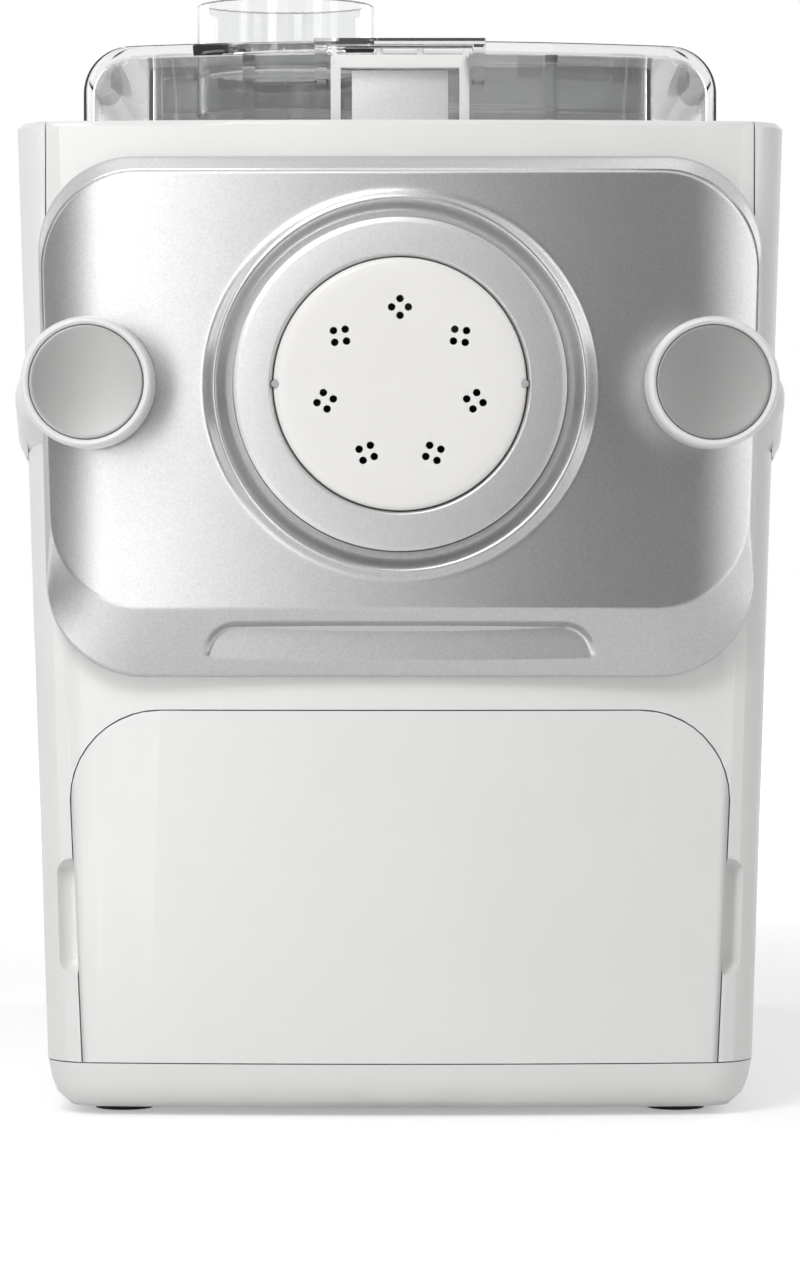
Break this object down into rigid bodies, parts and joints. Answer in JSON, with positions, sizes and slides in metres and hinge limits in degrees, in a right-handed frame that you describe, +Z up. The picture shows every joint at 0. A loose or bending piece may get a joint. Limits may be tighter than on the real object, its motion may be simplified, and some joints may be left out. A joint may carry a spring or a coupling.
{
  "type": "electric pasta maker",
  "caption": "Electric pasta maker with a clear mixing lid, an extruding screw behind a shaping disc in a clamped silver front panel, and a storage drawer.",
  "frame": {"origin": "middle of the bounding box in plan, at the level of the feet", "axes": "+X to the right seen from the front, +Y to the rear, +Z up; the front faces -Y"},
  "size_m": [0.2255, 0.404, 0.335],
  "materials": {
    "white_gloss": "glossy white moulded ABS",
    "food_white": "smooth food-safe white plastic",
    "silver_paint": "satin silver metallic paint on plastic",
    "ring_light": "light silver satin plastic",
    "knob_grey": "satin mid grey",
    "steel": "plain steel",
    "brass": "machined",
    "gear_grey": "greased acetal",
    "alloy": "die cast",
    "laminations": "lacquered laminations",
    "black_plastic": "matt black",
    "runner_grey": "slippery grey plastic",
    "board_green": "solder mask",
    "rubber_dark": "matt dark grey rubber",
    "rubber_light": "light grey silicone",
    "clear": "clear polycarbonate",
    "window_black": "tinted window"
  },
  "bodies": {
    "housing": {"housing_shell": "white_gloss", "front_bezel": "white_gloss", "top_deck": "white_gloss", "rear_panel": "white_gloss", "base_tray": "white_gloss", "rubber_feet": "rubber_dark", "knob_bracket_left": "white_gloss", "knob_bracket_right": "white_gloss", "knob_inserts": "brass", "mixing_chamber": "food_white", "tube_sleeve": "food_white", "extruding_tube": "food_white", "shaft_seal": "rubber_dark", "output_bushes": "brass", "idler_axle": "steel", "gearbox_case": "alloy", "gearbox_cover": "alloy", "motor_case": "steel", "motor_stator": "laminations", "chassis": "steel", "main_board": "board_green", "lid_hinge_pins": "steel", "latch_pin": "steel", "latch_plate": "ring_light", "drawer_runners": "runner_grey", "control_panel": "white_gloss", "display_window": "window_black", "control_board": "board_green", "cord_gland": "black_plastic", "case_screws": "steel"},
    "front_panel": {"front_panel": "silver_paint", "disc_ring": "ring_light", "shaping_disc": "food_white"},
    "knob_left": {"knob_left": "white_gloss", "knob_cap_left": "knob_grey", "knob_screw_left": "steel"},
    "knob_right": {"knob_right": "white_gloss", "knob_cap_right": "knob_grey", "knob_screw_right": "steel"},
    "lid": {"lid": "clear", "lid_spout": "clear", "lid_catch": "clear", "lid_seal": "rubber_light"},
    "lid_latch": {"lid_latch": "white_gloss"},
    "drawer": {"drawer_front": "white_gloss", "drawer_tray": "white_gloss", "spare_discs": "food_white"},
    "agitator": {"extruding_screw": "food_white", "mixing_paddle": "food_white", "drive_shaft": "steel", "output_gear": "gear_grey"},
    "idler": {"idler_gear": "gear_grey"},
    "motor_rotor": {"motor_rotor": "laminations", "motor_pinion": "brass", "motor_fan": "black_plastic"},
    "start_button": {"start_button": "ring_light"},
    "mode_button": {"mode_button": "white_gloss"},
    "plus_button": {"plus_button": "white_gloss"},
    "minus_button": {"minus_button": "white_gloss"},
    "clean_button": {"clean_button": "white_gloss"}
  },
  "joints": [
    {"name": "lid_hinge", "type": "hinge", "parent": "housing", "child": "lid", "pos_m": [0, 0.0632, 0.297], "axis": [-1, 0, 0], "range_deg": [0, 95]},
    {"name": "latch_tilt", "type": "hinge", "parent": "housing", "child": "lid_latch", "pos_m": [0, -0.146, 0.284], "axis": [1, 0, 0], "range_deg": [0, 32]},
    {"name": "panel_slide", "type": "slide", "parent": "housing", "child": "front_panel", "axis": [0, -1, 0], "range_m": [0, 0.12]},
    {"name": "knob_left_turn", "type": "hinge", "parent": "front_panel", "child": "knob_left", "pos_m": [-0.089, -0.19, 0.213], "axis": [0, -1, 0], "range_deg": [0, 540]},
    {"name": "knob_right_turn", "type": "hinge", "parent": "front_panel", "child": "knob_right", "pos_m": [0.089, -0.19, 0.213], "axis": [0, -1, 0], "range_deg": [0, 540]},
    {"name": "drawer_slide", "type": "slide", "parent": "housing", "child": "drawer", "axis": [0, -1, 0], "range_m": [0, 0.165]},
    {"name": "agitator_turn", "type": "hinge", "parent": "housing", "child": "agitator", "pos_m": [0, 0, 0.213], "axis": [0, 1, 0], "continuous": true},
    {"name": "idler_turn", "type": "hinge", "parent": "housing", "child": "idler", "pos_m": [0, 0.06, 0.149], "axis": [0, 1, 0], "continuous": true},
    {"name": "motor_turn", "type": "hinge", "parent": "housing", "child": "motor_rotor", "pos_m": [0, 0.12, 0.10212], "axis": [0, 1, 0], "continuous": true},
    {"name": "start_button_press", "type": "slide", "parent": "housing", "child": "start_button", "axis": [-0.9995, 0, 0.0331], "range_m": [0, 0.001], "stiffness_N_per_m": 400},
    {"name": "mode_button_press", "type": "slide", "parent": "housing", "child": "mode_button", "axis": [-0.9995, 0, 0.0331], "range_m": [0, 0.001], "stiffness_N_per_m": 300},
    {"name": "plus_button_press", "type": "slide", "parent": "housing", "child": "plus_button", "axis": [-0.9995, 0, 0.0331], "range_m": [0, 0.001], "stiffness_N_per_m": 300},
    {"name": "minus_button_press", "type": "slide", "parent": "housing", "child": "minus_button", "axis": [-0.9995, 0, 0.0331], "range_m": [0, 0.001], "stiffness_N_per_m": 300},
    {"name": "clean_button_press", "type": "slide", "parent": "housing", "child": "clean_button", "axis": [-0.9995, 0, 0.0331], "range_m": [0, 0.001], "stiffness_N_per_m": 300}
  ],
  "couplings": [
    {"joint": "idler_turn", "follows": "agitator_turn", "ratio": -3},
    {"joint": "motor_turn", "follows": "agitator_turn", "ratio": 12}
  ]
}
